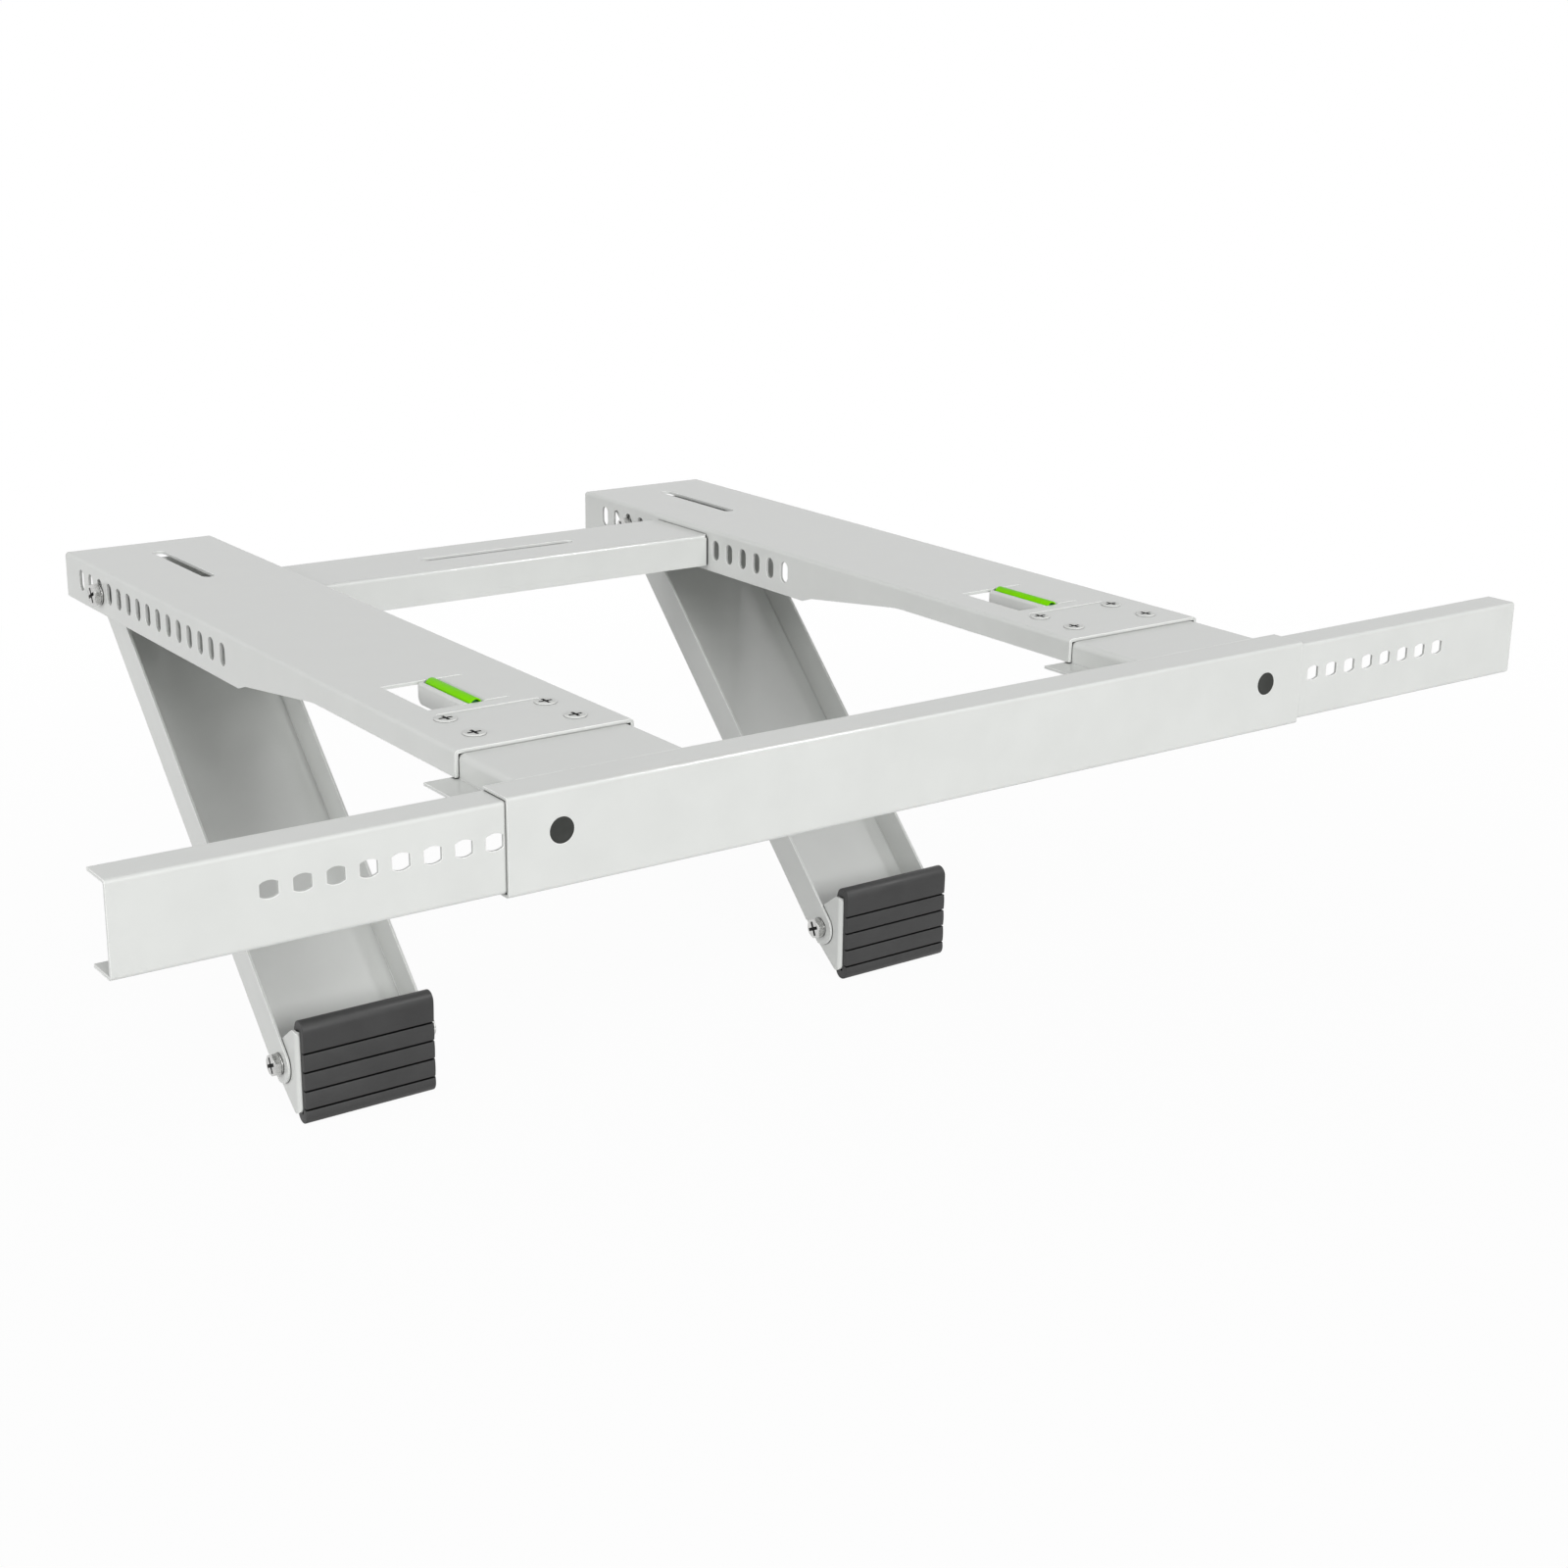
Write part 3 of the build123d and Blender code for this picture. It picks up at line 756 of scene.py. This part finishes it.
def plug_rings(sizes, radius, depth):
    """A plug whose face lies on Z = 0: a softened rim around a shallow dish."""
    edge = sizes.plug_edge
    bend = edge * BEND_SHARE
    side = [(radius, -depth), (radius, -edge), (radius - bend, -bend), (radius - edge, 0)]
    dish = [(radius * DISH_RIM_SHARE, 0), (radius * DISH_FLOOR_SHARE, -sizes.plug_dish)]
    return turned(side + dish, ring_angles())


class BRACKET_OT_sleeve_plugs(Operator):
    """Build the plastic plugs in the crossbar's face"""

    bl_idname = "bracket.sleeve_plugs"
    bl_label = "Sleeve Plugs"

    def execute(self, context):
        sizes = context.scene.bracket_sizes
        plastic = shared(black_plastic, context)
        for side in SIDES:
            node = f"sleeve_plug_{side}"
            span = span_of(node)
            face = middle_of(node) - Vector((0, span.y / 2, 0))
            place = Matrix.Translation(face) @ Matrix.Rotation(math.pi / 2, 4, "X")
            bm = bmesh.new()
            skin(bm, plug_rings(sizes, span.x / 2, span.y), place)
            add_piece(f"round_plug_{side}", bm, "frame", (plastic,), node)
        return {"FINISHED"}


# Levels

COLUMN_EDGE_SHARE = 0.12
BUBBLE_RADIUS_SHARE = 0.55
BUBBLE_RISE_SHARE = 0.4


def tube_rings(bore, radius, half_length, edge):
    """An open tube about Z with softened edges."""
    wall = [(bore, -half_length), (radius, -half_length), (radius, half_length), (bore, half_length)]
    return turned(soften(wall, edge), ring_angles())


def column_rings(radius, half_length):
    """A short round column about Z with softened ends."""
    edge = COLUMN_EDGE_SHARE * radius
    bend = edge * BEND_SHARE
    low = [
        (radius - edge, -half_length),
        (radius - bend, -half_length + bend),
        (radius, -half_length + edge),
    ]
    high = [(r, -z) for r, z in reversed(low)]
    return turned(low + high, ring_angles())


def bubble_rings(radius, half_length, steps=6):
    """A long bubble about Z: a cylinder with round ends."""
    straight = half_length - radius
    lifts = [math.pi / 2 * k / steps for k in range(1, steps + 1)]
    low = [(radius * math.sin(lift), -(straight + radius * math.cos(lift))) for lift in lifts]
    high = [(r, -z) for r, z in reversed(low)]
    return turned(low + high, ring_angles())


class BRACKET_OT_levels(Operator):
    """Build the tinted level tubes with their liquid, bubble and stoppers"""

    bl_idname = "bracket.levels"
    bl_label = "Levels"

    def execute(self, context):
        sizes = context.scene.bracket_sizes
        for side in SIDES:
            vial, fluid, plugs = (f"level_{part}_{side}" for part in ("vial", "liquid", "end_plugs"))
            place = Matrix.Translation(middle_of(vial)) @ Matrix.Rotation(-math.pi / 2, 4, "X")
            span = span_of(vial)
            inner = span_of(fluid).x / 2

            tube = bmesh.new()
            rings = tube_rings(inner + sizes.play, span.x / 2, span.y / 2, sizes.tube_edge)
            skin(tube, rings, place, closed=True)
            glass = shared(level_glass, context)
            add_piece(f"level_tube_{side}", tube, "frame", (glass,), vial)

            column = bmesh.new()
            skin(column, column_rings(inner, span_of(fluid).y / 2), place)
            bubble = bubble_rings(inner * BUBBLE_RADIUS_SHARE, sizes.bubble_length / 2)
            skin(column, bubble, place @ Matrix.Translation((0, -inner * BUBBLE_RISE_SHARE, 0)))
            liquid = shared(level_liquid, context)
            add_piece(f"level_column_{side}", column, "frame", (liquid,), fluid)

            ends = bmesh.new()
            half_stopper = sizes.stopper / 2
            stopper = column_rings(span_of(plugs).x / 2, half_stopper)
            for end in ENDS:
                spot = (0, 0, end * (span_of(plugs).y / 2 - half_stopper))
                skin(ends, stopper, place @ Matrix.Translation(spot))
            plastic = shared(stopper_plastic, context)
            add_piece(f"level_stoppers_{side}", ends, "frame", (plastic,), plugs)
        return {"FINISHED"}


# Rubber pads


def arc(y, z, radius, start, end, steps=16):
    """Points of an arc in Y and Z, with its angles in degrees from +Y towards +Z."""
    turns = [math.radians(start + (end - start) * k / steps) for k in range(steps + 1)]
    return [(y + radius * math.cos(t), z + radius * math.sin(t)) for t in turns]


def rib_face(arch, front, high, low, steps=10):
    """One rib's low arch from its upper edge to its lower edge."""
    points = []
    for k in range(steps + 1):
        t = 2 * k / steps - 1
        points.append((front + arch * t * t, high + (low - high) * k / steps))
    return points


def front_face(sizes, front, highest, top, bottom):
    """The ribs and grooves of the pad's face, from its upper lip down to its lower lip."""
    half = sizes.pad_groove / 2
    grooves = []
    z = highest - sizes.pad_groove_drop
    while z - half > bottom:
        grooves.append(z)
        z -= sizes.pad_groove_pitch
    edges = [2 * top - (grooves[0] + half)]
    for groove in grooves:
        edges += [groove + half, groove - half]
    edges.append(2 * bottom - (grooves[-1] - half))
    points = []
    for high, low in zip(edges[0::2], edges[1::2]):
        rib = rib_face(sizes.pad_arch, front, high, low)
        points += [(y, z) for y, z in rib if bottom < z < top]
        if low > bottom:
            base = front + sizes.pad_groove_depth
            points += [(base, low), (base, low - 2 * half)]
    return points


def pad_outline(sizes, low, high):
    """The pad's side view in Y and Z, anticlockwise: two round lips, a hollow back and a ribbed front."""
    front, back = low.y, high.y
    lip = (back - front) / 2
    lip_y = front + lip
    top, bottom = high.z - lip, low.z + lip
    plate_front = front + sizes.pad_wall
    plate_back = plate_front + sizes.pad_slot
    hook = sizes.pad_hook
    outline = arc(lip_y, bottom, lip, 180, 360)
    outline += [(back, bottom + hook), (plate_back, bottom + hook), (plate_back, bottom)]
    outline += [(plate_front, bottom), (plate_front, top), (plate_back, top)]
    outline += [(plate_back, top - hook), (back, top - hook)]
    outline += arc(lip_y, top, lip, 0, 180)
    outline += front_face(sizes, front, high.z, top, bottom)
    return outline


def pulled_in(outline, shrink, low, high, wall):
    """Move the outer points of the pad's side view towards its middle, and leave its hollow as it is."""
    middle = (low + high) / 2
    lip = (high.y - low.y) / 2
    half_height = high.z - middle.z
    points = []
    for y, z in outline:
        hollow = y >= low.y + wall and low.z + lip <= z <= high.z - lip
        share = 0 if hollow else shrink
        points.append((y + share * (middle.y - y) / lip, z + share * (middle.z - z) / half_height))
    return points


def pad_rings(sizes, low, high, steps=4):
    """The pad's side view at each X of its width: it shrinks over the rounded side edges."""
    half = (high.x - low.x) / 2
    outline = soften(pad_outline(sizes, low, high), sizes.pad_corner)
    rows = []
    for k in range(steps + 1):
        lift = math.pi / 2 * k / steps
        shrink = sizes.pad_edge * (1 - math.cos(lift))
        x = half - sizes.pad_edge * (1 - math.sin(lift))
        rows.append((x, pulled_in(outline, shrink, low, high, sizes.pad_wall)))
    rows = [(-x, points) for x, points in reversed(rows)] + rows
    return [[(x, y, z) for y, z in points] for x, points in rows]


class BRACKET_OT_rubber_pads(Operator):
    """Build the ribbed rubber pads that clip over the foot plates"""

    bl_idname = "bracket.rubber_pads"
    bl_label = "Rubber Pads"

    def execute(self, context):
        sizes = context.scene.bracket_sizes
        rubber = shared(black_rubber, context)
        for side in SIDES:
            node = f"foot_pad_{side}"
            rings = pad_rings(sizes, *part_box(node))
            bm = bmesh.new()
            skin(bm, rings, Matrix.Translation((middle_of(node).x, 0, 0)))
            add_piece(f"rubber_pad_{side}", bm, f"foot_{side}", (rubber,), node)
        return {"FINISHED"}


# Stage

WHITE = (1, 1, 1, 1)
FLOOR_REACH = 8.0
FLOOR_ROUGHNESS = 0.9

# The floor's whiteness goes from the first to the second share between these two distances
FADE_DISTANCES = (0.5, 1.6)
FLOOR_WHITENESS = (0.96, 1.0)

FRONT_PLACE = (-0.3, -4.4, 2.0)
LEFT_PLACE = (-3.7, 0.2, 1.3)
EDGE_PLACE = (2.0, -1.6, 2.8)
WIDE_LAMP = 2.2
SMALL_LAMP = 0.5


def seen_rays(tree):
    """1 for rays that show the background: from the camera, mirrored and refracted ones."""
    rays = add_node(tree, "ShaderNodeLightPath").outputs
    mirrored = compute(tree, "MAXIMUM", rays["Is Camera Ray"], rays["Is Glossy Ray"])
    return compute(tree, "MAXIMUM", mirrored, rays["Is Transmission Ray"])


def floor_finish(base):
    """A pale floor that looks almost white near the part, where its shadow shows, and white farther out."""
    material = bpy.data.materials.new("floor_white")
    material.use_nodes = True
    tree = material.node_tree
    shader = tree.nodes["Principled BSDF"]
    shader.inputs["Base Color"].default_value = (*base, 1)
    shader.inputs["Roughness"].default_value = FLOOR_ROUGHNESS
    place = add_node(tree, "ShaderNodeTexCoord").outputs["Object"]
    distance = add_node(tree, "ShaderNodeVectorMath", {0: place}, operation="LENGTH").outputs["Value"]
    whiteness = remap(tree, distance, FADE_DISTANCES, FLOOR_WHITENESS)
    seen = compute(tree, "MULTIPLY", whiteness, seen_rays(tree))
    glow = add_node(tree, "ShaderNodeEmission", {"Color": WHITE, "Strength": 1.0})
    mix = add_node(tree, "ShaderNodeMixShader", {0: seen, 1: shader.outputs[0], 2: glow.outputs[0]})
    tree.links.new(mix.outputs[0], tree.nodes["Material Output"].inputs["Surface"])
    return material


def add_floor(scene, base):
    """A wide flat floor right under the part."""
    bm = bmesh.new()
    bmesh.ops.create_grid(bm, x_segments=4, y_segments=4, size=FLOOR_REACH)
    mesh = bpy.data.meshes.new("floor")
    bm.to_mesh(mesh)
    bm.free()
    mesh.materials.append(floor_finish(base))
    floor = bpy.data.objects.new("floor", mesh)
    scene.collection.objects.link(floor)
    floor.location = (0, 0, cad_box[0].z)


def add_sky(scene, strength):
    """Even light from all sides, which looks white to the camera."""
    world = bpy.data.worlds.new("studio")
    scene.world = world
    world.use_nodes = True
    tree = world.node_tree
    background = tree.nodes["Background"]
    background.inputs["Color"].default_value = WHITE
    level = remap(tree, seen_rays(tree), (0, 1), (strength, 1))
    tree.links.new(level, background.inputs["Strength"])


def add_softbox(scene, name, place, width, watts):
    """A square lamp that faces the part and stays out of the picture."""
    lamp = bpy.data.lights.new(name, "AREA")
    lamp.size = width
    lamp.energy = watts
    softbox = bpy.data.objects.new(name, lamp)
    scene.collection.objects.link(softbox)
    middle = (cad_box[0] + cad_box[1]) / 2
    softbox.visible_camera = False
    softbox.location = place
    softbox.rotation_euler = (middle - Vector(place)).to_track_quat("-Z", "Y").to_euler()
    return softbox


def add_camera(scene, stage):
    data = bpy.data.cameras.new("camera")
    data.lens = stage.lens
    data.shift_x = stage.shift_x
    data.shift_y = stage.shift_y
    camera = bpy.data.objects.new("camera", data)
    scene.collection.objects.link(camera)
    upright = Matrix.Rotation(math.pi / 2 - stage.camera_dip, 4, "X")
    compass = Matrix.Rotation(-stage.camera_turn, 4, "Z")
    roll = Matrix.Rotation(stage.camera_roll, 4, "Z")
    camera.matrix_world = Matrix.Translation(stage.camera_place) @ compass @ upright @ roll
    scene.camera = camera


class BRACKET_OT_stage(Operator):
    """Set up the floor, the studio light and the camera"""

    bl_idname = "bracket.stage"
    bl_label = "Stage"

    def execute(self, context):
        scene = context.scene
        stage = scene.bracket_stage
        add_floor(scene, scene.bracket_colours.floor)
        add_sky(scene, stage.sky)
        add_softbox(scene, "front_softbox", FRONT_PLACE, WIDE_LAMP, stage.front_power)
        add_softbox(scene, "left_softbox", LEFT_PLACE, WIDE_LAMP, stage.left_power)
        edge_softbox = add_softbox(scene, "edge_softbox", EDGE_PLACE, SMALL_LAMP, stage.edge_power)
        edge_softbox.visible_diffuse = False
        add_camera(scene, stage)
        scene.view_settings.view_transform = "Standard"
        return {"FINISHED"}


# Panel and registration


class BRACKET_PT_panel(Panel):
    """Sizes, colours and building steps of the bracket"""

    bl_idname = "BRACKET_PT_panel"
    bl_label = "Bracket"
    bl_space_type = "VIEW_3D"
    bl_region_type = "UI"
    bl_category = "Bracket"

    def draw(self, context):
        for group_name in GROUPS:
            group = getattr(context.scene, group_name)
            box = self.layout.box()
            for name in group.bl_rna.properties.keys():
                if name not in ("rna_type", "name"):
                    box.prop(group, name)
        for step in STEPS:
            self.layout.operator(step.bl_idname)


GROUPS = {"bracket_sizes": BracketSizes, "bracket_colours": BracketColours, "bracket_stage": BracketStage}
STEPS = (
    BRACKET_OT_paint_steel,
    BRACKET_OT_arm_screws,
    BRACKET_OT_screw_nuts,
    BRACKET_OT_pivot_bolts,
    BRACKET_OT_pivot_washers,
    BRACKET_OT_pivot_nuts,
    BRACKET_OT_sleeve_plugs,
    BRACKET_OT_levels,
    BRACKET_OT_rubber_pads,
    BRACKET_OT_stage,
)


def register():
    for cls in (*GROUPS.values(), *STEPS, BRACKET_PT_panel):
        bpy.utils.register_class(cls)
    for name, cls in GROUPS.items():
        setattr(bpy.types.Scene, name, PointerProperty(type=cls))


def unregister():
    for name in GROUPS:
        delattr(bpy.types.Scene, name)
    for cls in reversed((*GROUPS.values(), *STEPS, BRACKET_PT_panel)):
        bpy.utils.unregister_class(cls)


def main():
    register()
    for step in STEPS:
        family, name = step.bl_idname.split(".")
        getattr(getattr(bpy.ops, family), name)()


if __name__ == "__main__":
    main()
